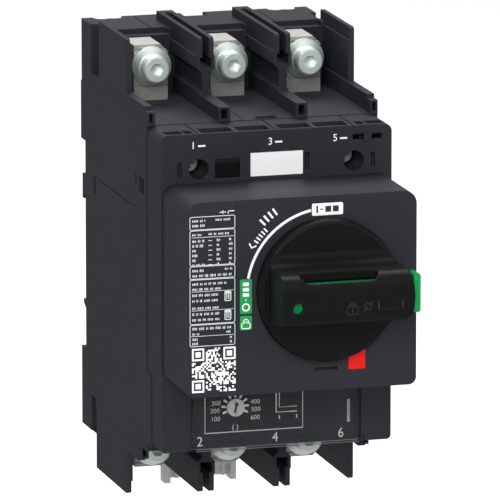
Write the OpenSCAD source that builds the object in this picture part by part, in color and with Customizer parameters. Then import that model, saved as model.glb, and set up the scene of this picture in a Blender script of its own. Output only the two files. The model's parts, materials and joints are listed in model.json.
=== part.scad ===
// Three-pole motor protection breaker with rotary handle.
// Frame: rear mounting plane at y = 0, front towards -y, z up, x = 0 on the middle pole.

/* [Housing] */
// width across the three poles
body_w = 81; // [80.6:0.1:82]
// distance between pole centres
pole_pitch = 27; // [26.8:0.1:27.2]
// rear plane to the face of the front cover
case_depth = 102; // [102:0.5:104]
// rear plane to the seam of the base
base_depth = 70.5; // [70:0.1:71]
// rear plane to the seam of the front cover
mid_depth = 84.5; // [84:0.1:85]
// half height of the middle body, floor level of the terminal compartments
body_half_h = 56; // [56:0.1:57]
// top of the line side walls
line_wall_z = 80.6; // [79:0.1:83]
// bottom of the load side walls
load_wall_z = 77; // [76.5:0.1:78]
// wall thickness of the mouldings
wall = 2.1; // [1.9:0.1:2.2]

/* [Front cover] */
// width of the front cover
cover_w = 80.4; // [80:0.1:80.6]
// top edge of the front cover
cover_top = 55.7; // [55.2:0.1:56]
// bottom edge of the front cover, below the centre
cover_bottom = 52.9; // [52.5:0.1:53]
// thickness of the cover face
face_t = 2.5; // [2.3:0.1:2.6]
// depth of the pocket for the settings panel
pocket_depth = 2.8; // [2.6:0.1:3]

/* [Raised box] */
// height of the raised box in front of the cover
box_h = 30.7; // [30:0.1:32]
// half width of the raised box
box_half_w = 39.6; // [39:0.1:39.8]
// top edge of the raised box
box_top = 39; // [38.8:0.1:39.2]
// bottom edge of the raised box, below the centre
box_bottom = 27.1; // [26.9:0.1:27.2]
// seam between the label panel and the handle side
seam_x = -22.5; // [-23:0.1:-22.3]

/* [Handle] */
// handle axis, sideways
handle_x = 8.2; // [8:0.1:8.4]
// handle axis, height
handle_z = 7.4; // [7.2:0.1:7.6]
// radius of the skirt
skirt_r = 24.2; // [23.5:0.1:24.5]
// radius of the disc
disc_r = 23.5; // [22.5:0.1:23.6]
// height of the grip in front of the box
grip_out = 19.8; // [19:0.1:22]
// half height of the grip bar at its front
grip_half = 8.7; // [8.4:0.05:8.9]
// radius of the grip bar's rounded end
grip_r = 25; // [24.5:0.1:25.2]

/* [Terminals] */
// height of the line screws above the centre
line_screw_z = 67.8; // [67.5:0.1:68]
// depth of the load screws below the centre
load_screw_z = 64.4; // [64.2:0.1:64.6]
// front face of the terminal bars
pad_y = -42; // [-42.5:0.1:-41.5]
// width of the terminal bars
pad_w = 12; // [11:0.1:12.4]
// terminal screw thread diameter
screw_d = 6; // [5:0.1:6.2]
// terminal screw head diameter
head_d = 9.4; // [9:0.1:10]
// hexagon socket across flats
socket_af = 4; // [3:0.1:5]

/* [Rail] */
// upper edge of the rail slot
rail_z = 15.1; // [14.9:0.1:15.3]
// height of the rail slot
rail_gap = 35.6; // [35.4:0.1:35.8]
// depth of the slot behind the rear plane
rail_depth = 5.7; // [5.5:0.1:5.8]

/* [Contacts] */
// opening angle of the moving contacts
contact_angle = 40; // [35:1:42]
// length of the moving contact arms
arm_len = 30; // [28:0.5:31]

/* [Hidden] */
$fn = 48;
half_w = body_w / 2;
cover_y = -case_depth;
box_y = cover_y - box_h;
grip_y = box_y - grip_out;
disc_y = box_y - 4.8;
line_rear_z = 77.5;
chamber_half_w = 11.3;
chamber_half_h = 52;
shaft_y = -40;
shaft_z = -4;
shaft_r = 6;
fit = 0.05;
latch_half_w = 12.9;
well_x = pole_pitch;
well_z = 43.6;
trip_x = 18.95;
trip_z = -17.15;
lock_z = -19.8;
dial_x = -13.8;
dial_z = -38.9;
bar_y = -80;
bar_z = -27;
toggle_y = -79;
crank_r = 8;
hinge_z = -52;
black = [0.2, 0.2, 0.22];
handle_black = [0.12, 0.12, 0.12];
green = [0.1, 0.6, 0.3];
red = [0.87, 0.13, 0.13];
tin = [0.62, 0.62, 0.6];
zinc = [0.75, 0.78, 0.8];
copper = [0.75, 0.45, 0.3];
steel = [0.6, 0.6, 0.62];
white = [0.95, 0.95, 0.95];

// Block between two corners.
module block(x0, x1, y0, y1, z0, z1) {
    translate([x0, y0, z0]) cube([x1 - x0, y1 - y0, z1 - z0]);
}

// The same block on the left and on the right.
module block_pair(x0, x1, y0, y1, z0, z1) {
    block(x0, x1, y0, y1, z0, z1);
    block(-x1, -x0, y0, y1, z0, z1);
}

// Round bar along y between two depths.
module rod_y(x, z, y0, y1, r) {
    translate([x, y1, z]) rotate([90, 0, 0]) cylinder(r = r, h = y1 - y0);
}

// Tapered round bar along y, r0 at the front end y0.
module cone_y(x, z, y0, y1, r0, r1) {
    translate([x, y1, z]) rotate([90, 0, 0]) cylinder(r1 = r1, r2 = r0, h = y1 - y0);
}

// Round bar along x.
module rod_x(x0, x1, y, z, r) {
    translate([x0, y, z]) rotate([0, 90, 0]) cylinder(r = r, h = x1 - x0);
}

// Flat outline in x and z made solid along y.
module slab_y(y0, y1) {
    translate([0, y1, 0]) rotate([90, 0, 0]) linear_extrude(y1 - y0) children();
}

// Rectangle with its own corner radius at the top and at the bottom.
module round_rect(x0, x1, z0, z1, rt, rb) {
    translate([x0 + rt, z0 + rb]) square([x1 - x0 - 2 * rt, z1 - z0 - rb]);
    translate([x0, z0 + rb]) square([x1 - x0, z1 - z0 - rb - rt]);
    translate([x0 + rb, z0]) square([x1 - x0 - 2 * rb, rb + rt]);
    for (x = [x0 + rt, x1 - rt]) translate([x, z1 - rt]) circle(r = rt);
    for (x = [x0 + rb, x1 - rb]) translate([x, z0 + rb]) circle(r = rb);
}

// One copy for each pole.
module each_pole() {
    for (i = [-1:1]) translate([i * pole_pitch, 0, 0]) children();
}

// Open coil of a flat section, axis along z.
module coil(r, thick, turns, length) {
    sweep = 130;
    linear_extrude(height = length, twist = -360 * turns, slices = 12 * turns, segments = 10)
        polygon([for (k = [0:4]) (r + thick / 2) * [cos(k * sweep / 4), sin(k * sweep / 4)],
            for (k = [4:-1:0]) (r - thick / 2) * [cos(k * sweep / 4), sin(k * sweep / 4)]]);
}

// Rounds the upper front corner of a wall that ends at depth y.
module corner_cut(x0, x1, y, top, r) {
    difference() {
        block(x0, x1, y - 1, y + r, top - r, top + 1);
        rod_x(x0 - 1, x1 + 1, y + r, top - r, r);
    }
}

// Wall between two poles: T slot for a phase barrier above a web and a low rib.
module phase_wall(top, rib_front) {
    difference() {
        union() {
            for (s = [0, 1]) mirror([s, 0, 0]) slab_y(-62.8, -10)
                polygon([[-0.1, top], [2.75, top], [2.75, top - 6.3], [3.1, top - 6.3],
                    [3.1, top - 10.5], [2.2, top - 11.6], [1.5, top - 12.2],
                    [1.2, top - 13], [1.2, 63.2], [1.5, 62.2], [2.05, 61.5],
                    [2.05, 55.8], [-0.1, 55.8]]);
            block(-2.05, 2.05, rib_front, -27, 55.8, 61);
        }
        block(-1.15, 1.15, -63, -14, top - 7, top + 1);
        block(-2.05, 2.05, -63, -14, top - 10.4, top - 6.9);
        block(-1.05, 1.05, rib_front - 1, rib_front + 20, 57, 60.3);
        corner_cut(-4, 4, -62.8, top, 1.3);
    }
}

// Outer wall of a terminal block: tall rear part and a low rib in front.
module outer_wall(top, rear, rib_front) {
    out = half_w - 0.3;
    difference() {
        union() {
            block(out - wall, out, -58, -rear, 55.8, top);
            block(out - 2.6, out, rib_front + 4, -27, 55.8, 62);
            block(out - 2.7, out, rib_front, rib_front + 4.1, 55.8, 60.6);
        }
        block(out - 1.9, out - 0.7, rib_front - 1, rib_front + 7, 57, 59.9);
        corner_cut(out - 4, out + 1, -58, top, 1.3);
        block(out - wall - 1, out - wall + 0.5, -59, -rear + 1, top - 4.4, top + 1);
    }
}

// Walls, ribs and rear block of one terminal side, for the line side up.
module terminal_block(top, rear_top, rear, wall_rib, pole_rib) {
    block(-half_w + 0.3, half_w - 0.3, -28, 0, 50, rear_top);
    for (s = [0, 1]) mirror([s, 0, 0]) {
        translate([pole_pitch / 2, 0, 0]) phase_wall(top, pole_rib);
        outer_wall(top, rear, wall_rib);
    }
    block(-half_w, half_w, -mid_depth, -base_depth, 53.8, body_half_h);
}

// Wavy scoops and slits in the rear edge of the line side.
module rear_scoops() {
    for (s = [0, 1]) mirror([s, 0, 0]) {
        for (x = [28.9, 33.2]) translate([x, -0.8, line_rear_z - 2]) cylinder(r = 3, h = 4);
        block(21.9, 22.3, -29, 1, line_rear_z - 0.8, line_rear_z + 1);
    }
    block(-5.1, 3, -6, 1, line_rear_z - 1.6, line_rear_z + 1);
    // lowered front edge
    for (x = [-pole_pitch, 0, pole_pitch])
        block(x - 10.3, x + 10.3, -29, -24, line_rear_z - 1.8, line_rear_z + 1);
}

// Opening in a compartment floor for the terminal bar.
module bar_slot() {
    each_pole() block(-pad_w / 2 - 0.3, pad_w / 2 + 0.3, pad_y - 0.3, pad_y + 3.3, 50, 60);
}

module base_housing() color(black) difference() {
    union() {
        block(-half_w, half_w, -base_depth, -rail_depth, -body_half_h, body_half_h);
        difference() {
            terminal_block(line_wall_z, line_rear_z, 23, -85.7, -85.7);
            rear_scoops();
        }
        mirror([0, 0, 1]) terminal_block(load_wall_z, 65, 18, -76.4, -66);
        block(-half_w, half_w, -rail_depth - 1, 0, 35.7, 56);
        block(-half_w, half_w, -rail_depth - 1, -1.7, rail_z, 23.7);
        block(-half_w, half_w, -13, 0, -65, -37.5);
        // fixed wedges below the rail on both sides of the latch
        for (s = [0, 1]) mirror([s, 0, 0])
            translate([latch_half_w + 0.3, 0, 0]) rotate([90, 0, 90])
                linear_extrude(half_w - latch_half_w - 0.5)
                polygon([[-rail_depth - 1, -24.6], [-rail_depth - 1, rail_z - rail_gap],
                    [-2.1, rail_z - rail_gap], [-2.1, rail_z - rail_gap - 1.3]]);
    }
    // hollow rear pockets behind the line terminals
    each_pole() block(-9.5, 9.5, -25, 1, 58, 73.5);
    // pole chambers with bosses for the screws left standing
    each_pole() difference() {
        block(-chamber_half_w, chamber_half_w, -base_depth - 1, -9,
            -chamber_half_h, chamber_half_h);
        rod_y(0, well_z, -base_depth - 1, -64.2, 3.6);
        block(-1.5, 1.5, -base_depth - 1, -64.2, well_z, chamber_half_h + 1);
    }
    bar_slot();
    mirror([0, 0, 1]) bar_slot();
    // undercut of the upper rail hook
    block(-half_w - 1, half_w + 1, -rail_depth, -3.9, rail_z - 1, rail_z + 1.8);
    // channel and spring pocket of the rail latch
    block(-latch_half_w - 0.2, latch_half_w + 0.2, -rail_depth, -3.4, -70, -37);
    block(-2.4, 2.4, -8.4, -3.3, -50, -37);
    // bearings of the contact shaft
    rod_x(-half_w + 0.6, half_w - 0.6, shaft_y, shaft_z, 3 + fit);
    rod_x(-38.2, 38.2, shaft_y, shaft_z, shaft_r + fit);
    // threads of the case screws and cover screws
    for (x = [-1, 1]) {
        rod_y(x * well_x, well_z, -base_depth - 1, -65, 1.6);
        for (z = [-48, 48]) rod_y(x * pole_pitch / 2, z, -base_depth - 1, -55, 1.5);
    }
    // side grooves, finger recess, cross tunnel and moulding lines
    for (s = [0, 1]) mirror([s, 0, 0]) {
        block(-half_w - 1, -half_w + 2.6, -22.9, -12.2, 60.5, 90);
        block(-half_w - 1, -half_w + 2.4, -18.2, -12.2, -64.9, -52.5);
        block(-half_w - 1, -half_w + 0.4, -base_depth - 1, -22.7, 25.2, 25.6);
        block(-half_w - 1, -half_w + 0.5, -20, -16, 19.5, 25.6);
    }
    block(-half_w - 1, half_w + 1, -17.6, -15.6, -57.4, -54.6);
    block(-1.5, 5.5, -84, -79.6, 53.5, 57);
    // outline of the floor plate in the middle compartment
    block(-6.2, -5.9, -84, -46, 55.7, 57);
}

module mid_housing() color(black) difference() {
    union() {
        difference() {
            block(-half_w, half_w, -mid_depth, -base_depth, -53.7, 53.7);
            block(-half_w + wall, half_w - wall, -mid_depth - 1, -base_depth - 3.5,
                -53.7 + wall, 53.7 - wall);
        }
        // side flanges that reach further forward at the bottom
        block_pair(half_w - wall, half_w, -90, -mid_depth + 0.1, -53.7, -28.2);
        // tubes for the cover screws, lugs for the trip bar
        for (x = [-well_x, well_x]) rod_y(x, well_z, -mid_depth, -base_depth - 0.1, 4);
        block_pair(33.5, 36.5, -82.5, -base_depth - 0.1, -30.5, -23.5);
    }
    block(-12, 12, -base_depth - 4, -base_depth + 1, -20, 24);
    for (x = [-1, 1]) {
        rod_y(x * well_x, well_z, -mid_depth - 1, -base_depth + 1, 1.8);
        for (z = [-48, 48]) rod_y(x * pole_pitch / 2, z, -mid_depth, -base_depth + 1, 1.7);
    }
    rod_x(-37.5, 37.5, bar_y, bar_z, 2 + fit);
    for (s = [0, 1]) mirror([s, 0, 0]) {
        block(-half_w - 1, -half_w + 1.2, -82.6, -75.3, 31.6, 37.2);
        block(-half_w - 1, -half_w + 0.8, -73, -base_depth + 1, 33.8, 37.2);
    }
}

// Pockets along the top edge of the front cover, on one side.
module top_pockets() {
    top = cover_top - 2.2;
    block(1.8, 12.7, cover_y + 1.6, -93, top, 60);
    block(14.4, 25.4, cover_y + 1.6, -93, top, 60);
    block(28.5, 31.3, cover_y + 1.6, -95, top, 60);
    block(32, 38, cover_y + 1.6, -95, top, 60);
}

module front_cover() color(black) difference() {
    union() {
        difference() {
            slab_y(cover_y, -mid_depth)
                round_rect(-cover_w / 2, cover_w / 2, -cover_bottom, cover_top, 2.6, 1.5);
            block(-cover_w / 2 + 2.3, cover_w / 2 - 2.3, cover_y + face_t, -mid_depth + 1,
                -cover_bottom + 2.3, cover_top - 2.3);
        }
        // wells of the cover screws
        for (x = [-well_x, well_x]) rod_y(x, well_z, cover_y + 1, -mid_depth, 5);
        // floor and side cheeks of the settings pocket
        block(-31.6, 31.6, cover_y + pocket_depth, cover_y + pocket_depth + 2,
            -cover_bottom + 0.1, -24);
        block_pair(29.7, 31.6, cover_y + 0.5, cover_y + pocket_depth + 2,
            -cover_bottom + 0.1, -24);
        // backing of the top pockets
        block(-38.5, 38.5, cover_y + 1, -91.5, cover_top - 4.4, cover_top - 2.1);
    }
    // clearance for the side flanges of the middle housing
    block_pair(half_w - wall - 0.2, half_w, -90.1, -80, -60, -28.1);
    top_pockets();
    mirror([1, 0, 0]) top_pockets();
    each_pole() block(-0.25, 0.25, cover_y + 1, -mid_depth + 1, cover_top - 0.5, 60);
    for (x = [-well_x, well_x]) {
        rod_y(x, well_z, cover_y - 1, -87, 3.5);
        rod_y(x, well_z, cover_y - 1, -mid_depth + 1, 1.8);
    }
    // opening for the mechanism under the raised box
    block(-20, 23, cover_y - 1, cover_y + face_t + 1, -22, 34);
    // settings pocket, open at the bottom edge, with its hinge holes
    block(-29.7, 29.7, cover_y - 1, cover_y + pocket_depth, -60, -27.2);
    rod_x(-31, 31, cover_y, hinge_z, 0.8);
    rod_y(dial_x, dial_z, cover_y, -90, 1.6);
    // label seat, small recess, window, slide slot, side slots
    block(-9.3, 9.4, cover_y - 1, cover_y + 0.8, 40, 48.5);
    block(9.8, 11.4, cover_y - 1, cover_y + 1.4, 41.5, 47.5);
    block(-21.4, -12.7, cover_y - 1, cover_y + face_t + 1, 40.3, 46.8);
    block(26.5, 36.8, cover_y - 1, cover_y + face_t + 1, 50.8, 52.7);
    block_pair(32.8, 34.4, cover_y - 1, cover_y + 1.5, 41.2, 46.2);
}

// Outline of the raised box.
module box_outline(inset) {
    round_rect(-box_half_w + inset, box_half_w - inset, -box_bottom + inset,
        box_top - inset, 4.5 - inset, 2.6 - inset);
}

module handle_housing() color(black) difference() {
    union() {
        difference() {
            slab_y(box_y, cover_y) box_outline(0);
            slab_y(box_y + 2.7, cover_y + 1) box_outline(2.5);
        }
        // second front wall behind the label panel
        block(-box_half_w + 2, seam_x + 2, box_y + 2, box_y + 4, -box_bottom + 2, box_top - 2);
        // guide ribs of the drive slider
        block(-12.4, -10.3, box_y + 2, cover_y + 1, -12.3, 26);
        block(14.4, 16.4, box_y + 2, cover_y + 1, -12.3, 26);
        // rest for the spring of the trip button
        block(14.4, 23.5, -118, -116, -box_bottom + 2, -12.3);
    }
    // room for the clip behind the handle
    rod_y(handle_x, handle_z, box_y + 2.8, box_y + 6, 8.6);
    // seat of the label panel
    block(-60, seam_x, box_y - 1, box_y + 2, -60, 60);
    rod_y(handle_x, handle_z, box_y - 1, box_y + 3, 6 + fit);
    rod_y(handle_x, lock_z, box_y - 1, box_y + 3, 4);
    block(trip_x - 3, trip_x + 3, box_y - 1, box_y + 3, trip_z - 3.5, trip_z + 3.5);
    rod_y(trip_x, trip_z, -119, -115, 1.8);
}

module label_panel() color(black) intersection() {
    slab_y(box_y, box_y + 1.95) box_outline(0);
    block(-60, seam_x - 0.1, box_y - 1, box_y + 3, -60, 60);
}

module settings_cover() color([0.8, 0.85, 0.9, 0.35]) {
    difference() {
        union() {
            block(-29.4, 29.4, cover_y - 0.3, cover_y + 0.9, hinge_z + 0.6, -27.6);
            rod_x(-28.4, 28.4, cover_y, hinge_z, 1.3);
            // thumb lip
            block(-6, 6, cover_y - 0.9, cover_y - 0.2, -29.4, -28.2);
        }
        block_pair(28.4, 30, cover_y - 2, cover_y + 2, hinge_z - 2, hinge_z + 1.6);
    }
    rod_x(-30.6, 30.6, cover_y, hinge_z, 0.72);
}

module settings_panel() color([0.22, 0.22, 0.24]) difference() {
    block(-29.5, 29.5, cover_y + 2, cover_y + pocket_depth, hinge_z + 1.7, -27.4);
    rod_y(dial_x, dial_z, cover_y, -95, 1.6);
}

module settings_dial() color(white) difference() {
    union() {
        rod_y(dial_x, dial_z, cover_y + 1.1, cover_y + 1.95, 3.05);
        rod_y(dial_x, dial_z, cover_y + 1.2, -94, 1.55);
    }
    block(dial_x - 0.35, dial_x + 0.35, cover_y, cover_y + 1.6, dial_z - 2.2, dial_z + 2.2);
}

// Points of an arc about (y, z), for outlines in the y-z plane.
function arc(y, z, r, from, to, steps) =
    [for (k = [0:steps]) let (a = from + (to - from) * k / steps) [y + r * cos(a), z + r * sin(a)]];

// Upper half of the grip section: rounded front edge, hollow sweep down to the disc.
function grip_upper(half, front, root, edge, sweep) = concat(
    arc(front + edge, half - edge, edge, 180, 98, 8),
    arc(root - sweep, half + sweep + 0.7, sweep, 278, 360, 8));

// Grip bar across the disc, made solid along x.
module grip_bar(x0, x1) {
    upper = grip_upper(grip_half, grip_y, disc_y + 0.2, 4.8, 5.4);
    n = len(upper);
    translate([x0, 0, handle_z]) rotate([90, 0, 90]) linear_extrude(x1 - x0)
        polygon(concat(upper, [for (k = [n - 1:-1:0]) [upper[k][0], -upper[k][1]]]));
}

module rotary_handle() color(handle_black) difference() {
    union() {
        rod_y(handle_x, handle_z, box_y - 3, box_y - 0.5, skirt_r);
        cone_y(handle_x, handle_z, box_y - 4.2, box_y - 3, skirt_r - 0.5, skirt_r);
        cone_y(handle_x, handle_z, disc_y + 0.5, box_y - 4.2, disc_r, skirt_r - 0.5);
        cone_y(handle_x, handle_z, disc_y, disc_y + 0.5, disc_r - 0.5, disc_r);
        rod_y(handle_x, handle_z, box_y - 0.6, box_y + 5.5, 6);
        // grip bar: slanted pointer end on the left, round end on the right
        intersection() {
            grip_bar(handle_x - 30, handle_x + 30);
            cone_y(handle_x, handle_z, grip_y - 1, disc_y + 1, grip_r, grip_r - 1.4);
            translate([handle_x, 0, handle_z - 30]) linear_extrude(60)
                polygon([[-22.4, disc_y + 2], [-21.2, disc_y], [-20.4, grip_y + 1],
                    [-19.9, grip_y - 1], [40, grip_y - 1], [40, disc_y + 2]]);
        }
    }
    // space for the padlock slide, its way out and the slot on top
    intersection() {
        block(handle_x - 18.2, handle_x + 30, grip_y + 2, grip_y + 9,
            handle_z - 6, handle_z + 5.9);
        rod_y(handle_x, handle_z, grip_y - 1, disc_y + 1, grip_r - 2);
    }
    block(handle_x + 15, handle_x + 30, grip_y + 4, grip_y + 8.2, handle_z - 4.6, handle_z + 4.6);
    block(handle_x - 11.5, handle_x + 10.3, grip_y + 0.6, grip_y + 5.8,
        handle_z + 5.4, handle_z + 12);
    for (x = [-11.5, 10.3]) translate([handle_x + x, grip_y + 3.2, handle_z + 5.4])
        cylinder(r = 2.6, h = 6);
    // round sight hole and recessed field
    rod_y(handle_x - 15.2, handle_z - 2, grip_y - 1, grip_y + 3, 1.9);
    block(handle_x + 0.2, handle_x + 22.6, grip_y - 1, grip_y + 0.35,
        handle_z - 5.6, handle_z + 0.8);
    // square bore for the shaft, groove for the clip
    block(handle_x - 3.05, handle_x + 3.05, box_y - 5.2, box_y + 6,
        handle_z - 3.05, handle_z + 3.05);
    difference() {
        rod_y(handle_x, handle_z, box_y + 3.2, box_y + 4.3, 7);
        rod_y(handle_x, handle_z, box_y + 3, box_y + 5, 5.2);
    }
}

module padlock_slide() color(green) difference() {
    union() {
        intersection() {
            block(handle_x - 17.6, handle_x + 15, grip_y + 2.3, grip_y + 6.6,
                handle_z - 5.7, handle_z + 5.3);
            rod_y(handle_x, handle_z, grip_y - 1, disc_y + 1, grip_r - 3);
        }
        block(handle_x + 12, handle_x + 26, grip_y + 4.3, grip_y + 7.9,
            handle_z - 4.3, handle_z + 4.3);
        slab_y(grip_y + 3.6, grip_y + 9.4)
            round_rect(handle_x + 25.5, handle_x + 27.9, handle_z - 6.2, handle_z + 7, 1.1, 0.8);
    }
    // eye for the padlock shackle
    block(handle_x - 3, handle_x + 13, grip_y + 1, grip_y + 8, handle_z - 1, handle_z + 4.5);
}

module handle_shaft() color(steel) {
    block(handle_x - 3, handle_x + 3, box_y - 5, cover_y - 6, handle_z - 3, handle_z + 3);
    translate([handle_x, 0, handle_z]) rotate([0, -225, 0]) {
        block(0, crank_r, cover_y - 6.1, cover_y - 3.5, -3, 3);
        rod_y(0, 0, cover_y - 6.1, cover_y - 3.5, 3);
        rod_y(crank_r, 0, cover_y - 6.1, cover_y - 3.5, 3);
        rod_y(crank_r, 0, cover_y - 3.6, cover_y + 0.6, 1.5);
    }
}

module handle_clip() color(steel) difference() {
    rod_y(handle_x, handle_z, box_y + 3.3, box_y + 4.2, 8.2);
    rod_y(handle_x, handle_z, box_y + 3, box_y + 5, 5.3);
    block(handle_x - 2.5, handle_x + 2.5, box_y + 3, box_y + 5, handle_z - 10, handle_z - 3);
}

module drive_slider() color(steel) difference() {
    block(-10, 14.1, cover_y - 1.2, cover_y + 0.6, -12, 7);
    // slot for the crank pin and window for the toggle
    block(-2.4, 5, cover_y - 2, cover_y + 1, -0.2, 3.7);
    block(-3.4, 3.4, cover_y - 2, cover_y + 1, -10.2, -2);
}

module toggle_lever() color(handle_black) {
    rod_x(-8.7, 8.7, toggle_y, 0, 3.5);
    rod_x(-11.5, 11.5, toggle_y, 0, 2);
    translate([0, toggle_y, 0]) rotate([16.4, 0, 0]) {
        block(-2.6, 2.6, -19, 0, -2, 2);
        block(-2.6, 2.6, -25, -18.9, -1.6, 1.6);
    }
}

module mechanism_frame() color(steel) {
    difference() {
        union() {
            block_pair(9, 10.5, -84, -74.2, -14, 22);
            block_pair(10.4, 15, -75.3, -74, -14, 22);
            block(-9.1, 9.1, -81.5, -76.5, 17.6, 19);
            block(-9.1, 9.1, -77, -75.5, -14, -10);
        }
        rod_x(-12, 12, toggle_y, 0, 2 + fit);
    }
}

module mechanism_springs() color(steel)
    for (x = [-5.5, 5.5]) translate([x, toggle_y, 3.9]) coil(2.2, 0.8, 6, 13.6);

module trip_button() color(red) {
    block(trip_x - 2.93, trip_x + 2.93, box_y - 0.1, box_y + 3.2, trip_z - 3.43, trip_z + 3.43);
    block(trip_x - 3.9, trip_x + 3.9, box_y + 3.1, box_y + 4.4, trip_z - 4.4, trip_z + 4.4);
    rod_y(trip_x, trip_z, box_y + 4.3, -81.3, 1.6);
}

module trip_spring() color(steel)
    translate([trip_x, -118.1, trip_z]) rotate([90, 0, 0]) coil(2.4, 0.7, 5, 10);

module lock_screw() color(black) difference() {
    union() {
        rod_y(handle_x, lock_z, box_y, box_y + 3.1, 3.95);
        rod_y(handle_x, lock_z, box_y + 3, -110, 2);
        block(handle_x - 4.4, handle_x + 4.4, -112, -110, lock_z - 1.8, lock_z + 1.8);
    }
    block(handle_x - 5, handle_x + 5, box_y - 1, box_y + 1.2, lock_z - 0.5, lock_z + 0.5);
}

module trip_bar() color([0.35, 0.33, 0.3]) {
    rod_x(-36.4, 36.4, bar_y, bar_z, 2);
    block(trip_x - 2, trip_x + 2, bar_y - 1, bar_y + 1, bar_z, bar_z + 12);
    each_pole() block(-3, 3, bar_y - 0.8, bar_y + 0.8, bar_z - 8, bar_z);
}

module id_label() color(white)
    block(-9, 9.1, cover_y - 0.2, cover_y + 0.75, 40.3, 48.2);

module window_lens() color([0.1, 0.1, 0.12, 0.8]) {
    block(-21.3, -12.8, cover_y + 0.3, cover_y + 1.6, 40.4, 46.7);
}

module accessory_slide() color(black) {
    block(30.3, 32.8, cover_y - 0.9, cover_y - 0.1, 50.3, 53);
    block(30.7, 32.4, cover_y - 0.2, cover_y + face_t + 0.2, 50.95, 52.55);
    block(29.5, 33.6, cover_y + face_t + 0.1, cover_y + face_t + 1.1, 50, 51.2);
}

module cover_screws() color(zinc) for (x = [-well_x, well_x]) difference() {
    union() {
        rod_y(x, well_z, -90, -87, 2.9);
        rod_y(x, well_z, -88, -65.2, 1.5);
    }
    block(x - 2, x + 2, -91, -88.6, well_z - 0.4, well_z + 0.4);
    block(x - 0.4, x + 0.4, -91, -88.6, well_z - 2, well_z + 2);
}

module case_screws() color(zinc)
    for (x = [-pole_pitch / 2, pole_pitch / 2], z = [-48, 48]) difference() {
        union() {
            rod_y(x, z, -base_depth - 6, -base_depth - 3.5, 2.8);
            rod_y(x, z, -base_depth - 4, -55.3, 1.4);
        }
        block(x - 1.8, x + 1.8, -base_depth - 7, -base_depth - 4.8, z - 0.4, z + 0.4);
        block(x - 0.4, x + 0.4, -base_depth - 7, -base_depth - 4.8, z - 1.8, z + 1.8);
    }

// The six terminal positions, each seen from its own side.
module each_terminal() {
    each_pole() {
        translate([0, 0, line_screw_z]) children();
        translate([0, 0, -load_screw_z]) mirror([0, 0, 1]) children();
    }
}

module terminal_screws() color(zinc) each_terminal() difference() {
    union() {
        cone_y(0, 0, pad_y - 8.1, pad_y - 7.5, head_d / 2 - 0.6, head_d / 2);
        rod_y(0, 0, pad_y - 7.55, pad_y - 3.2, head_d / 2);
        rod_y(0, 0, pad_y - 3.3, pad_y + 9, screw_d / 2);
    }
    translate([0, pad_y - 5.2, 0]) rotate([90, 0, 0])
        cylinder(d = socket_af / cos(30), h = 4, $fn = 6);
}

module terminal_washers() color(zinc) each_terminal() difference() {
    union() {
        rod_y(0, 0, pad_y - 1.4, pad_y, 6.8);
        cone_y(0, 0, pad_y - 3.15, pad_y - 1.4, 4.9, 6.7);
    }
    rod_y(0, 0, pad_y - 4, pad_y + 1, screw_d / 2 + 0.1);
}

module terminal_nuts() color(zinc) each_terminal() difference() {
    block(-5, 5, pad_y + 3.05, pad_y + 8, -3.9, 3.9);
    rod_y(0, 0, pad_y + 2, pad_y + 9, screw_d / 2 + 0.03);
}

// Terminal bar seen from its own side: pad with a folded top and an inner leg.
module terminal_bar(centre, leg_z, foot_z) {
    top = centre + 7.4;
    difference() {
        union() {
            slab_y(pad_y, pad_y + 3) polygon([[-pad_w / 2, leg_z], [pad_w / 2, leg_z],
                [pad_w / 2, top - 2.6], [pad_w / 2 - 2.6, top], [-pad_w / 2, top]]);
            block(-pad_w / 2, pad_w / 2 - 2.6, pad_y + 2.9, -28.2, top - 3, top);
            block(-pad_w / 2, pad_w / 2, pad_y, -30, leg_z, leg_z + 3);
        }
        // folds across the face, above and below the washer
        for (z = [-7.3, 5.6])
            block(-pad_w, pad_w, pad_y - 1, pad_y + 0.6, centre + z, centre + z + 0.5);
        rod_y(0, centre, pad_y - 1, pad_y + 4, screw_d / 2 + 0.05);
    }
    if (foot_z < leg_z) block(-5, 5, -33, -30, foot_z, leg_z + 0.1);
}

module line_terminal(i) color(tin) translate([i * pole_pitch, 0, 0])
    terminal_bar(line_screw_z, 41, 20);

module load_terminal(i) color(tin) translate([i * pole_pitch, 0, 0])
    mirror([0, 0, 1]) terminal_bar(load_screw_z, 43.2, 43.2);

module fixed_tips() color([0.85, 0.85, 0.82]) each_pole() rod_y(0, 26, -34.3, -33, 3);

// Everything on the moving contact body, turned to its open place.
module opened() {
    translate([0, shaft_y, shaft_z]) rotate([contact_angle, 0, 0]) children();
}

module moving_tips() color([0.85, 0.85, 0.82]) each_pole() opened()
    rod_y(0, arm_len, 2, 5.5, 3);

module moving_contact(i) color(copper) translate([i * pole_pitch, 0, 0]) opened()
    difference() {
        union() {
            rod_x(-4, 4, 0, 0, 8.4);
            block(-4, 4, -2, 2, 0, arm_len + 3);
        }
        rod_x(-5, 5, 0, 0, shaft_r + 0.02);
    }

module contact_shaft() color([0.25, 0.22, 0.2]) {
    rod_x(-38.1, 38.1, shaft_y, shaft_z, shaft_r);
    rod_x(-39.6, 39.6, shaft_y, shaft_z, 3);
}

module arc_chute(i) color(steel) translate([i * pole_pitch, 0, 0]) {
    for (k = [0:6]) difference() {
        block(-10, 10, -62.4 + 2.5 * k, -61.2 + 2.5 * k, 24, 44);
        block(-5.2, 5.2, -63 + 2.5 * k, -60 + 2.5 * k, 23, 32.5);
    }
    block_pair(9.9, 10.9, -63, -45.6, 24, 44);
}

module trip_coil(i) color(copper) translate([i * pole_pitch, -38, 0]) {
    translate([0, 0, -43.2]) cylinder(r = 4, h = 30.4);
    translate([0, 0, -40.5]) cylinder(r = 7, h = 25);
    for (k = [0:6]) translate([0, 0, -40.5 + 3.6 * k]) cylinder(r = 8.6, h = 2.6);
}

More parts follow.
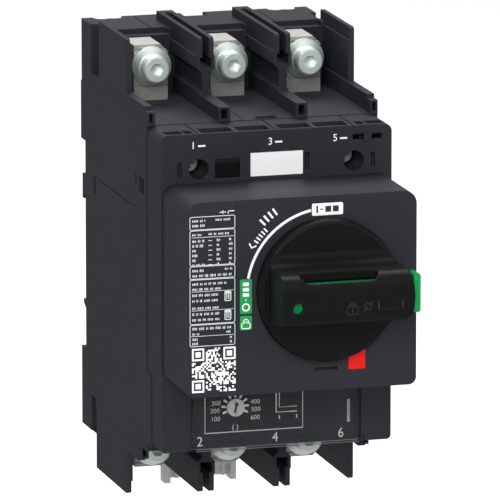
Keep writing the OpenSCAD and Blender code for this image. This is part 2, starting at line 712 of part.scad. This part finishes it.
module din_latch() color(zinc) {
    // hook that holds the lower edge of the rail
    translate([-latch_half_w, 0, rail_z - rail_gap]) rotate([90, 0, 90])
        linear_extrude(2 * latch_half_w)
        polygon([[-5.6, -3.9], [-5.6, -1.7], [-3.9, -1.7], [-3.9, 0], [-1.9, 0], [-1.9, -1.1]]);
    difference() {
        block(-latch_half_w, latch_half_w, -5.6, -3.5, -85.6, -23);
        block(-2.3, 2.3, -6, -3, -50, -38);
        block(-4, 4, -6, -3, -83.4, -81.4);
    }
    // two feet and ribs to grip the latch from below
    block_pair(latch_half_w - 2.1, latch_half_w, -7.4, -1.8, -87.1, -79);
    block_pair(latch_half_w - 5, latch_half_w - 4, -7, -5.5, -85.6, -76);
    block(-latch_half_w + 2, latch_half_w - 2, -6.6, -5.5, -82, -80.6);
}

module latch_spring() color(steel) translate([0, -5.9, -49.5]) coil(1.6, 0.6, 5, 11);

base_housing();
mid_housing();
front_cover();
handle_housing();
label_panel();
settings_cover();
settings_panel();
settings_dial();
rotary_handle();
padlock_slide();
handle_shaft();
handle_clip();
drive_slider();
toggle_lever();
mechanism_frame();
mechanism_springs();
trip_button();
trip_spring();
lock_screw();
trip_bar();
id_label();
window_lens();
accessory_slide();
cover_screws();
case_screws();
terminal_screws();
terminal_washers();
terminal_nuts();
line_terminal(-1);  // line_terminal_1
line_terminal(0);  // line_terminal_2
line_terminal(1);  // line_terminal_3
load_terminal(-1);  // load_terminal_1
load_terminal(0);  // load_terminal_2
load_terminal(1);  // load_terminal_3
fixed_tips();
moving_tips();
moving_contact(-1);  // moving_contact_1
moving_contact(0);  // moving_contact_2
moving_contact(1);  // moving_contact_3
contact_shaft();
arc_chute(-1);  // arc_chute_1
arc_chute(0);  // arc_chute_2
arc_chute(1);  // arc_chute_3
trip_coil(-1);  // trip_coil_1
trip_coil(0);  // trip_coil_2
trip_coil(1);  // trip_coil_3
din_latch();
latch_spring();
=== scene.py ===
"""Looks of the motor protection breaker: camera, light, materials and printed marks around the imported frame."""
import json
import math
import random

import bmesh
import bpy
from mathutils import Matrix, Vector


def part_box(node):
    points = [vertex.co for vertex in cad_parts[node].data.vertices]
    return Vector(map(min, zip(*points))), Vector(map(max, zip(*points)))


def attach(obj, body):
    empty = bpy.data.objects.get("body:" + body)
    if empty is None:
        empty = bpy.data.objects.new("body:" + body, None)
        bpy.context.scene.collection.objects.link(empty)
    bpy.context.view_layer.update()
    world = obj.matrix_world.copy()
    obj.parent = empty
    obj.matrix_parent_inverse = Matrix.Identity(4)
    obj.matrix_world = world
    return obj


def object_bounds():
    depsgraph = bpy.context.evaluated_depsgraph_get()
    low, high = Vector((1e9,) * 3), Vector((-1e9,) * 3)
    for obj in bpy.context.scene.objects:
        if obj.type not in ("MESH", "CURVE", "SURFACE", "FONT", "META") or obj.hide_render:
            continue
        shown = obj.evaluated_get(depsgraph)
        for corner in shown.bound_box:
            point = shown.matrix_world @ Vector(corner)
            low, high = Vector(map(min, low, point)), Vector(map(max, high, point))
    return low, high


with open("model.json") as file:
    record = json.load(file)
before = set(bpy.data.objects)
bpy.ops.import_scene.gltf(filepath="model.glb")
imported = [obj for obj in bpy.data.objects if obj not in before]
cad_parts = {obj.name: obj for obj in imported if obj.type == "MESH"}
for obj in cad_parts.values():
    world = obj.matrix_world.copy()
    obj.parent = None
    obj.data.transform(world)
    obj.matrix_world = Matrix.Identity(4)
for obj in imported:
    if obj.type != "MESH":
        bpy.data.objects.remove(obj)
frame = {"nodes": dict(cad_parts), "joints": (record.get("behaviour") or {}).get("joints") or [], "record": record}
cad_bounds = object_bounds()
nodes = frame["nodes"]
scene = bpy.context.scene
MM = 0.001
INK = 0.04  # how far printed ink stands proud, in mm
DIGIT_SHARE = 0.72  # height of a digit over the size of its font
FLOOR_GAP = 0.25  # the device hangs on a wall rail, so the floor is well below it


# ---------------------------------------------------------------- camera, floor and light
def add_camera(azimuth, elevation, place, lens):
    data = bpy.data.cameras.new("camera")
    data.sensor_width = 36.0
    data.lens = lens
    data.clip_start = 0.05
    data.clip_end = 20.0
    camera = bpy.data.objects.new("camera", data)
    scene.collection.objects.link(camera)
    camera.location = place
    camera.rotation_euler = (math.radians(90 - elevation), 0, math.radians(-azimuth))
    scene.camera = camera


def add_area(name, place, target, size, power):
    data = bpy.data.lights.new(name, "AREA")
    data.shape = "DISK"
    data.size = size
    data.energy = power
    lamp = bpy.data.objects.new(name, data)
    scene.collection.objects.link(lamp)
    lamp.location = place
    aim = Vector(target) - Vector(place)
    lamp.rotation_euler = aim.to_track_quat("-Z", "Y").to_euler()


def add_world(strength):
    world = bpy.data.worlds.new("studio")
    scene.world = world
    world.use_nodes = True
    background = world.node_tree.nodes["Background"]
    background.inputs["Color"].default_value = (1.0, 1.0, 1.0, 1.0)
    background.inputs["Strength"].default_value = strength


# seen from the front left and a little above, through a long lens
add_camera(16.02, 12.08, (-0.7556, -2.7015, 0.5940), 595.4)
scene.view_settings.view_transform = "Standard"
add_world(0.32)
MIDDLE = (0.0, -0.06, 0.0)
add_area("key", (-0.7, -1.8, 0.95), MIDDLE, 1.2, 27)
add_area("fill", (1.5, -1.2, 0.6), MIDDLE, 1.2, 10)
# the top lamp stands behind the device and lights the floor there to white
add_area("top", (0.1, 1.2, 2.2), (0.0, 1.0, 0.0), 2.4, 76)


# ---------------------------------------------------------------- material building blocks
class Shader:
    """A node material with short helpers for the procedural parts used below."""

    def __init__(self, name, colour, rough, metallic=0.0, gloss=0.5):
        self.mat = bpy.data.materials.new(name)
        self.mat.use_nodes = True
        self.tree = self.mat.node_tree
        self.bsdf = self.tree.nodes["Principled BSDF"]
        self.bsdf.inputs["Base Color"].default_value = (*colour, 1.0)
        self.bsdf.inputs["Roughness"].default_value = rough
        self.bsdf.inputs["Metallic"].default_value = metallic
        self.bsdf.inputs["Specular IOR Level"].default_value = gloss
        self.coords = self.tree.nodes.new("ShaderNodeTexCoord").outputs["Object"]
        self.normal = None

    def link(self, a, b):
        self.tree.links.new(a, b)

    def noise(self, scale, detail=2.0, stretch=None):
        node = self.tree.nodes.new("ShaderNodeTexNoise")
        node.inputs["Scale"].default_value = scale
        node.inputs["Detail"].default_value = detail
        place = self.coords
        if stretch:
            mapping = self.tree.nodes.new("ShaderNodeMapping")
            mapping.inputs["Scale"].default_value = stretch
            self.link(self.coords, mapping.inputs["Vector"])
            place = mapping.outputs["Vector"]
        self.link(place, node.inputs["Vector"])
        return node.outputs["Fac"]

    def remap(self, value, low, high, to_low, to_high):
        node = self.tree.nodes.new("ShaderNodeMapRange")
        node.inputs["From Min"].default_value = low
        node.inputs["From Max"].default_value = high
        node.inputs["To Min"].default_value = to_low
        node.inputs["To Max"].default_value = to_high
        self.link(value, node.inputs["Value"])
        return node.outputs["Result"]

    def times(self, a, b):
        node = self.tree.nodes.new("ShaderNodeMath")
        node.operation = "MULTIPLY"
        self.link(a, node.inputs[0])
        self.link(b, node.inputs[1])
        return node.outputs["Value"]

    def mix(self, factor, a, b):
        """a and b are colours or sockets; factor is a socket."""
        node = self.tree.nodes.new("ShaderNodeMix")
        node.data_type = "RGBA"
        self.link(factor, node.inputs["Factor"])
        for source, socket in ((a, node.inputs["A"]), (b, node.inputs["B"])):
            if isinstance(source, tuple):
                socket.default_value = (*source, 1.0)
            else:
                self.link(source, socket)
        return node.outputs["Result"]

    def edges(self, radius):
        """Softens the edges, and gives 0 on flats to 1 on outer and inner edges."""
        bevel = self.tree.nodes.new("ShaderNodeBevel")
        bevel.samples = 6
        bevel.inputs["Radius"].default_value = radius
        geometry = self.tree.nodes.new("ShaderNodeNewGeometry")
        dot = self.tree.nodes.new("ShaderNodeVectorMath")
        dot.operation = "DOT_PRODUCT"
        self.link(bevel.outputs["Normal"], dot.inputs[0])
        self.link(geometry.outputs["True Normal"], dot.inputs[1])
        self.normal = bevel.outputs["Normal"]
        return self.remap(dot.outputs["Value"], 0.97, 0.8, 0.0, 1.0)

    def bump(self, height, strength, distance):
        node = self.tree.nodes.new("ShaderNodeBump")
        node.inputs["Strength"].default_value = strength
        node.inputs["Distance"].default_value = distance
        self.link(height, node.inputs["Height"])
        if self.normal:
            self.link(self.normal, node.inputs["Normal"])
        self.normal = node.outputs["Normal"]
        self.link(self.normal, self.bsdf.inputs["Normal"])

    def base(self, socket):
        self.link(socket, self.bsdf.inputs["Base Color"])

    def rough(self, socket):
        self.link(socket, self.bsdf.inputs["Roughness"])


def shade(colour, factor):
    """The colour made lighter or darker."""
    return tuple(min(1.0, c * factor) for c in colour)


def moulded(name, colour, rough=(0.42, 0.56), grain=0.2, edge_wear_and_highlight=1.35, radius=0.00035, gloss=0.5):
    """Moulded plastic: fine spark-eroded grain, slow tone changes, and paler edges that are partly wear and partly
    a painted highlight.
    """
    s = Shader(name, colour, sum(rough) / 2, 0.0, gloss)
    edge = s.edges(radius)
    cloud = s.noise(38.0, 3.0)
    grit = s.noise(5200.0, 2.0)
    tone = s.mix(s.remap(cloud, 0.3, 0.7, 0.0, 1.0), shade(colour, 0.97), shade(colour, 1.03))
    # paler edges: partly scuffed wear, partly a painted highlight standing for the thin bright lines that light
    # draws along the edges
    wear_and_highlight_mask = s.times(edge, s.remap(s.noise(260.0, 3.0), 0.3, 0.7, 0.7, 1.0))
    s.base(s.mix(wear_and_highlight_mask, tone, shade(colour, edge_wear_and_highlight)))
    s.rough(s.remap(s.noise(700.0, 4.0), 0.3, 0.7, *rough))
    s.bump(grit, grain, 0.00003)
    return s.mat


def metal(name, colour, rough, brushed=None, dent=0.12, edge_wear_and_highlight=1.15, metallic=1.0):
    """Plated or bare metal: fine tooling lines or a sandy plating, with brighter edges that are partly wear and
    partly a painted highlight.
    """
    s = Shader(name, colour, sum(rough) / 2, metallic)
    edge = s.edges(0.00025)
    lines = s.noise(1500.0, 4.0, brushed) if brushed else s.noise(3800.0, 4.0)
    cloud = s.noise(160.0, 3.0)
    tone = s.mix(s.remap(cloud, 0.3, 0.7, 0.0, 1.0), shade(colour, 0.96), shade(colour, 1.03))
    # brighter edges: partly wear of the plating, partly a painted highlight
    s.base(s.mix(edge, tone, shade(colour, edge_wear_and_highlight)))
    s.rough(s.remap(lines, 0.3, 0.7, *rough))
    s.bump(lines, dent, 0.00002)
    return s.mat


def ink(name, colour, cover=0.9):
    """Screen printed ink: slightly uneven, matt, with thin spots."""
    s = Shader(name, colour, 0.6)
    patch = s.noise(2400.0, 3.0)
    s.base(s.mix(s.remap(patch, 0.3, 0.7, 0.0, 1.0), shade(colour, cover), colour))
    s.rough(s.remap(s.noise(600.0), 0.3, 0.7, 0.5, 0.7))
    s.bump(patch, 0.08, 0.00002)
    return s.mat


HOUSING = (0.0225, 0.0235, 0.0295)
HANDLE = (0.0052, 0.0052, 0.0054)
# each moulded and metal finish lightens its edges by its edge factor: partly wear, partly a painted highlight
materials = {
    "housing_plastic": moulded("housing_plastic", HOUSING, (0.5, 0.58), 0.15, 1.8, 0.0004, 0.14),
    "handle_plastic": moulded("handle_plastic", HANDLE, (0.4, 0.48), 0.1, 2.6, 0.0006, 0.14),
    "green_plastic": moulded("green_plastic", (0.0, 0.3, 0.075), (0.45, 0.55), 0.15, 1.2, 0.00035, 0.2),
    "red_plastic": moulded("red_plastic", (0.64, 0.007, 0.007), (0.45, 0.55), 0.15, 1.1, 0.00035, 0.15),
    "white_label": ink("white_label", (0.95, 0.95, 0.95), 0.98),
    "dial_plastic": moulded("dial_plastic", (0.7, 0.71, 0.72), (0.4, 0.5), 0.1, 1.1),
    "panel_film": moulded("panel_film", (0.024, 0.025, 0.03), (0.45, 0.52), 0.06, 1.2, 0.0002, 0.14),
    "window_plastic": moulded("window_plastic", (0.004, 0.004, 0.0045), (0.06, 0.12), 0.03, 2.0),
    "plated_steel": metal("plated_steel", (0.84, 0.92, 0.88), (0.34, 0.4), None, 0.04, 1.15, 0.6),
    "tin_plate": metal("tin_plate", (0.46, 0.455, 0.43), (0.46, 0.56), None, 0.15, 1.15, 0.88),
    "spring_steel": metal("spring_steel", (0.42, 0.42, 0.44), (0.25, 0.4)),
    "bare_steel": metal("bare_steel", (0.36, 0.36, 0.38), (0.35, 0.5), (1, 1, 14)),
    "copper": metal("copper", (0.62, 0.3, 0.17), (0.3, 0.45)),
    "contact_silver": metal("contact_silver", (0.75, 0.74, 0.7), (0.3, 0.4)),
    "latch_plastic": moulded("latch_plastic", (0.4, 0.42, 0.42), (0.4, 0.5), 0.15, 1.15),
    "inner_plastic": moulded("inner_plastic", (0.09, 0.075, 0.06), (0.5, 0.65), 0.3, 1.2),
}


def clear_plastic():
    """Clear cover: thin, glossy, faint scratches; mostly seen through."""
    s = Shader("clear_plastic", (0.05, 0.052, 0.056), 0.08)
    s.edges(0.0003)
    scratch = s.noise(900.0, 5.0, (1, 1, 12))
    s.rough(s.remap(scratch, 0.4, 0.8, 0.04, 0.16))
    s.bump(s.noise(700.0, 2.0), 0.03, 0.00002)
    s.bsdf.inputs["Alpha"].default_value = 0.14
    return s.mat


materials["clear_plastic"] = clear_plastic()
INKS = {
    "white": ink("ink_white", (0.95, 0.95, 0.95), 0.96),
    "grey": ink("ink_grey", (0.78, 0.78, 0.79), 0.95),
    "dark": ink("ink_dark", (0.02, 0.02, 0.022)),
    "green": ink("ink_green", (0.0, 0.34, 0.08), 0.95),
    "faint": ink("ink_faint", (0.022, 0.022, 0.0225)),
    # pale ink for painted highlights: the glints along the clear flap's hinge bead
    "painted_glint": ink("ink_painted_glint", (0.13, 0.13, 0.125)),
}

for part in frame["record"]["subparts"]:
    mesh = nodes[part["node"]].data
    mesh.materials.clear()
    mesh.materials.append(materials[part["material_slot"]])


# ---------------------------------------------------------------- printed marks as thin solids
def polar(x, z, r, degrees):
    """The point at distance r from (x, z), its angle from +X towards +Z."""
    return x + r * math.cos(math.radians(degrees)), z + r * math.sin(math.radians(degrees))


def arc_points(x, z, r, start, stop, steps):
    """Points of an arc about (x, z) between two angles in degrees."""
    return [polar(x, z, r, start + (stop - start) * k / steps) for k in range(steps + 1)]


def rounded(x0, x1, z0, z1, r, steps=5):
    """Closed outline of a rectangle with round corners, in mm."""
    return (arc_points(x1 - r, z1 - r, r, 0, 90, steps) + arc_points(x0 + r, z1 - r, r, 90, 180, steps)
            + arc_points(x0 + r, z0 + r, r, 180, 270, steps) + arc_points(x1 - r, z0 + r, r, 270, 360, steps))


def stripe(points, width, closed=False):
    """Quads of a line of the given width through points, in mm."""
    quads, n = [], len(points)
    sides = []
    for k, (x, z) in enumerate(points):
        before = points[k - 1] if k or closed else points[k]
        after = points[(k + 1) % n] if k < n - 1 or closed else points[k]
        along = Vector((after[0] - before[0], after[1] - before[1]))
        along = along.normalized() if along.length > 1e-9 else Vector((1, 0))
        off = Vector((-along.y, along.x)) * width / 2
        sides.append(((x + off.x, z + off.y), (x - off.x, z - off.y)))
    for k in range(n if closed else n - 1):
        a, b = sides[k], sides[(k + 1) % n]
        quads.append([a[0], a[1], b[1], b[0]])
    return quads


def bar(x0, x1, z0, z1):
    """One upright rectangle."""
    return [[(x0, z0), (x1, z0), (x1, z1), (x0, z1)]]


def frame_line(x0, x1, z0, z1, r, width):
    """Line of the given width round a rectangle with round corners."""
    return stripe(rounded(x0, x1, z0, z1, r), width, True)


def turned(shapes, x, z, degrees):
    """The shapes turned about (x, z)."""
    c, s = math.cos(math.radians(degrees)), math.sin(math.radians(degrees))
    return [[(x + (px - x) * c - (pz - z) * s, z + (px - x) * s + (pz - z) * c) for px, pz in shape]
            for shape in shapes]


def finish_piece(mesh, name, body, material):
    """Links the mesh as a piece that moves with the body and fills the material slot."""
    mesh.materials.clear()
    mesh.materials.append(material)
    piece = bpy.data.objects.new(name, mesh)
    scene.collection.objects.link(piece)
    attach(piece, body)


def printed(name, body, shapes, y, colour="white", thick=INK):
    """One piece of ink from flat shapes, standing thick proud of the plane y (mm), facing the front."""
    build = bmesh.new()
    for shape in shapes:
        front = [build.verts.new((x * MM, (y - thick) * MM, z * MM)) for x, z in shape]
        back = [build.verts.new((x * MM, (y + 0.01) * MM, z * MM)) for x, z in shape]
        build.faces.new(front)
        n = len(shape)
        for k in range(n):
            build.faces.new((front[k], back[k], back[(k + 1) % n], front[(k + 1) % n]))
    bmesh.ops.recalc_face_normals(build, faces=build.faces[:])
    if sum(f.normal.y for f in build.faces if abs(f.normal.y) > 0.9) > 0:
        bmesh.ops.reverse_faces(build, faces=build.faces[:])
    mesh = bpy.data.meshes.new(name)
    build.to_mesh(mesh)
    build.free()
    finish_piece(mesh, name, body, INKS[colour])


def number(name, body, text, height, x, z, y, colour="white", wide=1.0):
    """A number of the given height in mm, its middle at (x, z), its width scaled by wide."""
    curve = bpy.data.curves.new(name, "FONT")
    curve.body = text
    curve.size = height / DIGIT_SHARE * MM
    curve.extrude = INK * MM / 2
    curve.align_x = "CENTER"
    curve.align_y = "CENTER"
    source = bpy.data.objects.new(name + "_source", curve)
    scene.collection.objects.link(source)
    graph = bpy.context.evaluated_depsgraph_get()
    mesh = bpy.data.meshes.new_from_object(source.evaluated_get(graph))
    bpy.data.objects.remove(source)
    low = min(v.co.y for v in mesh.vertices)
    high = max(v.co.y for v in mesh.vertices)
    left = min(v.co.x for v in mesh.vertices)
    right = max(v.co.x for v in mesh.vertices)
    shift = Matrix.Translation((-(left + right) / 2, -(low + high) / 2, 0))
    place = Matrix.Translation((x * MM, (y - INK / 2) * MM, z * MM))
    upright = Matrix.Rotation(math.pi / 2, 4, "X")
    mesh.transform(place @ upright @ Matrix.Diagonal((wide, 1, 1, 1)) @ shift)
    mesh.name = name
    finish_piece(mesh, name, body, INKS[colour])


def word_bars(rng, x0, x1, z, height, fill=0.52, glyph=0.55):
    """Stand-in for a line of small print: short uneven strokes in groups."""
    shapes, x = [], x0
    while x < x1 - glyph:
        for _ in range(rng.randint(2, 5)):
            w = glyph * rng.uniform(0.6, 1.1)
            if x + w > x1:
                break
            low = z - height / 2 * rng.uniform(0.75, 1.0)
            high = z + height / 2 * rng.uniform(0.6, 1.0)
            shapes += bar(x, x + w * fill, low, high)
            x += w
        x += glyph * 0.9
    return shapes


# ---------------------------------------------------------------- places taken from the frame
box_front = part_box("handle_housing")[0].y / MM
panel_low, panel_high = (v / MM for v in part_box("label_panel"))
cover_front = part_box("front_cover")[0].y / MM
film_low, film_high = (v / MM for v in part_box("settings_panel"))
dial_low, dial_high = (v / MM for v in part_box("settings_dial"))
grip_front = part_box("rotary_handle")[0].y / MM
flap_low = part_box("settings_cover")[0] / MM
turn_joint = next(j for j in frame["joints"] if j["name"] == "handle_turn")
axis_x, axis_z = turn_joint["pos_m"][0] / MM, turn_joint["pos_m"][2] / MM
rng = random.Random(7)


def row(x0, x1, z, height):
    """One line of stand-in print on the label panel."""
    return word_bars(rng, x0, x1, z, height)


def table_head(left, right, top):
    text = row(left + 0.8, left + 5.6, top - 1.4, 0.95)
    text += row(right - 6.6, right - 0.9, top - 1.3, 0.85)
    text += row(left + 0.8, left + 5.6, top - 3.0, 0.95)
    return [], text


def table_ratings(left, right, top):
    lines = bar(left + 0.6, right - 0.4, top - 2.45, top - 2.3)
    text = row(left + 0.8, left + 4.2, top - 1.5, 0.8)
    text += row(left + 6.4, right - 0.8, top - 1.4, 0.8)
    for k in range(6):
        z = top - 3.6 - 1.62 * k
        wide = 5.6 if k in (0, 1, 5) else 3.2
        text += row(left + 0.8, left + wide, z, 1.0)
        text += bar(left + 6.3, left + 7.6, z - 0.1, z + 0.12)
        text += row(left + 9.2, left + 10.7, z + 0.1, 0.95)
        text += row(right - 2.0, right - 0.6, z + 0.2, 0.95)
    return lines, text


def table_frequency(left, right, top):
    text = row(left + 0.8, left + 5.6, top - 1.5, 0.95)
    text += row(right - 3.4, right - 0.7, top - 1.3, 0.8)
    text += row(left + 0.8, right - 0.6, top - 3.2, 0.95)
    return [], text


def table_cables(left, right, top):
    lines = []
    text = row(left + 0.8, right - 2.2, top - 1.5, 0.9)
    for part in (0, 1):
        z = top - 3.3 - 6.4 * part
        text += row(left + 0.8, right - 4.4, z, 0.9)
        lines += bar(left + 0.6, right - 0.5, z - 0.85, z - 0.7)
        text += row(left + 0.8, left + 10.6, z - 2.0, 0.95)
        text += row(left + 0.8, left + 10.6, z - 3.9, 0.95)
        # symbol of a terminal with its screw
        lines += frame_line(right - 3.4, right - 1.4, z - 4.3, z - 1.1, 0.3, 0.3)
        text += bar(right - 3.3, right - 1.5, z - 1.9, z - 1.2)
        text += bar(right - 2.9, right - 2.6, z - 3.8, z - 1.9)
        text += bar(right - 2.2, right - 1.9, z - 3.8, z - 1.9)
    return lines, text


def table_torque(left, right, top):
    text = row(left + 0.8, right - 0.3, top - 1.3, 1.0)
    text += row(left + 0.8, left + 3.6, top - 3.1, 0.8)
    text += row(right - 2.9, right - 0.8, top - 2.8, 0.9)
    lines = bar(left + 0.4, right - 0.4, top - 3.9, top - 3.75)
    for k in (0, 1):
        text += row(left + 0.8, left + 3.2, top - 4.9 - 1.4 * k, 0.95)
        text += row(right - 1.7, right - 0.8, top - 4.7 - 1.4 * k, 0.95)
    return lines, text


def label_tables():
    """Rating tables: outlined boxes with rows of small strokes in place of the print."""
    left, right = panel_low.x + 0.95, panel_high.x - 0.65
    top = 34.2
    tables = ((4.6, table_head), (12.1, table_ratings), (4.5, table_frequency),
              (15.3, table_cables), (7.5, table_torque))
    lines, text = [], []
    for height, table in tables:
        bottom = top - height
        lines += frame_line(left, right, bottom + 0.25, top - 0.05, 0.5, 0.2)
        more_lines, more_text = table(left, right, top)
        lines += more_lines
        text += more_text
        top = bottom
    # switch and diode symbols above the tables
    text += bar(right - 5.2, right - 3.0, 35.2, 35.5) + bar(right - 4.3, right - 3.9, 34.8, 35.9)
    text += bar(right - 2.2, right - 0.2, 35.5, 35.8) + bar(right - 2.4, right - 2.1, 34.8, 35.5)
    printed("label_lines", "housing", lines, box_front, "grey")
    printed("label_strokes", "housing", text, box_front, "grey")
    return top


def code_square(top):
    """A square of random cells; it holds no data."""
    left, size, count = panel_low.x + 1.6, 15.0, 25
    cell = size / count
    shapes = []
    corners = ((0, 0), (count - 7, 0), (0, count - 7))
    for i in range(count):
        for j in range(count):
            corner = next(((a, b) for a, b in corners if a <= i < a + 7 and b <= j < b + 7), None)
            if corner:
                ring = max(abs(i - corner[0] - 3), abs(j - corner[1] - 3))
                filled = ring in (3, 0, 1)
            elif any(a - 1 <= i <= a + 7 and b - 1 <= j <= b + 7 for a, b in corners):
                filled = False
            else:
                filled = rng.random() < 0.52
            if filled:
                x, z = left + i * cell, top - 0.5 - j * cell
                shapes += bar(x, x + cell * 1.01, z - cell * 1.01, z)
    printed("code_square", "housing", shapes, box_front, "white")


def handle_marks():
    """Position marks round the handle: white sector line, on and off fields, chevron."""
    marks = stripe(arc_points(axis_x, axis_z, 27.3, 101.0, 169.5, 40), 0.9)
    # strokes in place of the two words along the line
    for angle in (123.2, 126.4, 129.6, 132.8):
        x, z = polar(axis_x, axis_z, 32.3, angle)
        marks += turned(bar(x - 0.34, x + 0.34, z - 1.35, z + 1.35), x, z, angle - 90 + 2)
    for k in range(5):
        angle = 134.8 + 2.4 * k
        x, z = polar(axis_x, axis_z, 29.6, angle)
        marks += turned(bar(x - 0.26, x + 0.26, z - 0.85, z + 0.85), x, z, angle - 90)
    x, z = polar(axis_x, axis_z, 29.9, 149.3)
    marks += turned(stripe([(x + 1.2, z + 1.3), (x, z), (x + 1.2, z - 1.3)], 0.5), x, z, 68)
    printed("handle_line", "housing", marks, box_front, "white")
    for name, low, high in (("off_field", 0.5, 12.2), ("lock_field", -5.0, -0.2)):
        field = rounded(-21.5, -17.4, low, high, 0.5)
        printed(name, "housing", [field], box_front, "green")
    over = box_front - INK
    # ring, short dash and three blocks
    off = stripe(arc_points(-19.45, 2.7, 1.15, 0, 360, 28)[:-1], 0.5, True)
    off += bar(-19.65, -19.25, 4.9, 5.4)
    for k in range(3):
        off += bar(-20.5, -18.4, 6.3 + 1.8 * k, 7.5 + 1.8 * k)
    printed("off_marks", "housing", off, over, "white")
    # open padlock
    lock = frame_line(-20.9, -18.0, -4.5, -2.6, 0.5, 0.3)
    lock += stripe(arc_points(-19.45, -2.2, 0.85, -20, 200, 14), 0.3)
    lock += stripe(arc_points(-19.45, -2.4, 0.25, 0, 360, 10)[:-1], 0.25, True)
    printed("lock_marks", "housing", lock, over, "white")
    printed("on_field", "housing", [rounded(3.3, 14.0, 32.3, 36.4, 0.5)], box_front, "white")
    # upright stroke, short dash and two blocks
    on = bar(4.8, 5.4, 33.2, 35.6) + bar(6.2, 7.1, 34.2, 34.6)
    on += bar(7.9, 9.9, 33.4, 35.4) + bar(10.5, 12.5, 33.4, 35.4)
    printed("on_marks", "housing", on, over, "dark")


def cover_marks():
    """Pole numbers on the cover, with a short bar after each."""
    for text, x in (("1", -28.9), ("3", -2.2), ("5", 20.4)):
        number("pole_" + text, "housing", text, 2.5, x, 51.9, cover_front)
        printed("pole_bar_" + text, "housing", bar(x + 1.7, x + 4.2, 51.3, 51.9), cover_front, "white")


def settings_marks():
    """Printing on the settings film: outline, dial rays, numbers, tripping curve."""
    y = film_low.y
    dial_x, dial_z = (dial_low.x + dial_high.x) / 2, (dial_low.z + dial_high.z) / 2
    lines = stripe([(-24.4, film_high.z), (-24.4, -47.4), (9.8, -47.4), (9.8, film_high.z)], 0.35)
    rays = []
    for k in range(9):
        angle = -24 + 228 * k / 8
        rays += stripe([polar(dial_x, dial_z, 3.3, angle), polar(dial_x, dial_z, 4.8, angle)], 0.7)
    curve = stripe([(0.5, film_high.z), (0.5, -41.6), (7.8, -41.6)], 0.4)
    curve += stripe([(1.6, film_high.z), (1.6, -39.9), (7.8, -39.9)], 0.25)
    curve += bar(1.4, 1.8, -43.9, -42.7) + bar(7.5, 7.9, -43.9, -42.7)
    printed("film_lines", "housing", lines + curve, y, "grey")
    code = [piece for k in range(12) for piece in bar(25.4, 26.4, -46.4 + 0.66 * k, -46.05 + 0.66 * k)]
    printed("film_code", "housing", code, y, "grey")
    printed("dial_rays", "housing", rays, y, "white")
    for text, x, z in (("3", -20.5, -37.2), ("2", -20.9, -39.8), ("1", -20.5, -42.6),
                       ("4", -6.8, -37.4), ("5", -6.6, -40.0), ("6", -6.8, -42.8)):
        number("dial_number_" + text, "housing", text + "00", 1.6, x, z, y, "grey")
    number("dial_unit", "housing", "( )", 1.8, dial_x, -46.0, y, "grey")
    for text, x in (("2", -26.2), ("4", 0.1), ("6", 23.2)):
        number("load_pole_" + text, "housing", text, 3.4, x, -50.0, y - 0.05, "grey", 0.9)
    arrow = turned(bar(dial_x - 0.28, dial_x + 0.28, dial_z - 1.7, dial_z + 1.0), dial_x, dial_z, -18)
    arrow += turned([[(dial_x - 0.8, dial_z + 0.8), (dial_x + 0.8, dial_z + 0.8), (dial_x, dial_z + 2.0)]],
                    dial_x, dial_z, -18)
    printed("dial_arrow", "dial", arrow, dial_low.y, "dark")


def grip_marks():
    """Faint moulded symbols in the recessed field of the grip: padlock, diameter sign, dots."""
    y = grip_front + 0.35
    x, z = axis_x + 3.4, axis_z - 2.5
    marks = frame_line(x - 1.9, x + 1.9, z - 2.4, z + 0.2, 0.4, 0.2)
    marks += stripe(arc_points(x, z + 0.3, 1.25, -10, 190, 14), 0.2)
    marks += stripe(arc_points(x, z + 0.3, 0.7, -10, 190, 14), 0.2) + bar(x - 0.15, x + 0.15, z - 1.8, z - 0.6)
    marks += stripe(arc_points(x + 5.4, z, 1.2, 0, 360, 24)[:-1], 0.22, True)
    marks += stripe([(x + 3.7, z - 1.9), (x + 7.1, z + 1.9)], 0.22)
    for k in range(4):
        marks += bar(x + 11.0 + 1.5 * k, x + 11.35 + 1.5 * k, z - 1.4, z - 1.05)
    marks += bar(x + 8.9, x + 9.3, z - 1.4, z + 1.6) + bar(x + 17.2, x + 17.6, z - 1.4, z + 1.6)
    printed("grip_marks", "handle", marks, y, "faint", 0.03)


def flap_painted_glint():
    """Two pale strips along the lower edge of the clear flap: painted highlights for the glints on its hinge bead.
    """
    for name, up, back in (("low", 0.5, 0.2), ("high", 1.25, 0.0)):
        z = flap_low.z + up
        printed("flap_bead_glint_" + name, "cover_flap", bar(-28.3, 28.3, z, z + 0.2),
                flap_low.y + back, "painted_glint", 0.02)


bottom = label_tables()
code_square(bottom)
handle_marks()
cover_marks()
settings_marks()
grip_marks()
flap_painted_glint()


# ---------------------------------------------------------------- floor
def add_floor(level):
    size = 6.0
    mesh = bpy.data.meshes.new("floor")
    mesh.from_pydata([(-size, -size, level), (size, -size, level), (size, size, level), (-size, size, level)],
                     [], [(0, 1, 2, 3)])
    floor = bpy.data.objects.new("floor", mesh)
    scene.collection.objects.link(floor)
    s = Shader("floor", (0.93, 0.93, 0.93), 0.9)
    s.rough(s.remap(s.noise(40.0), 0.3, 0.7, 0.85, 0.95))
    mesh.materials.append(s.mat)
    floor.visible_glossy = False


add_floor(cad_bounds[0][2] - FLOOR_GAP)
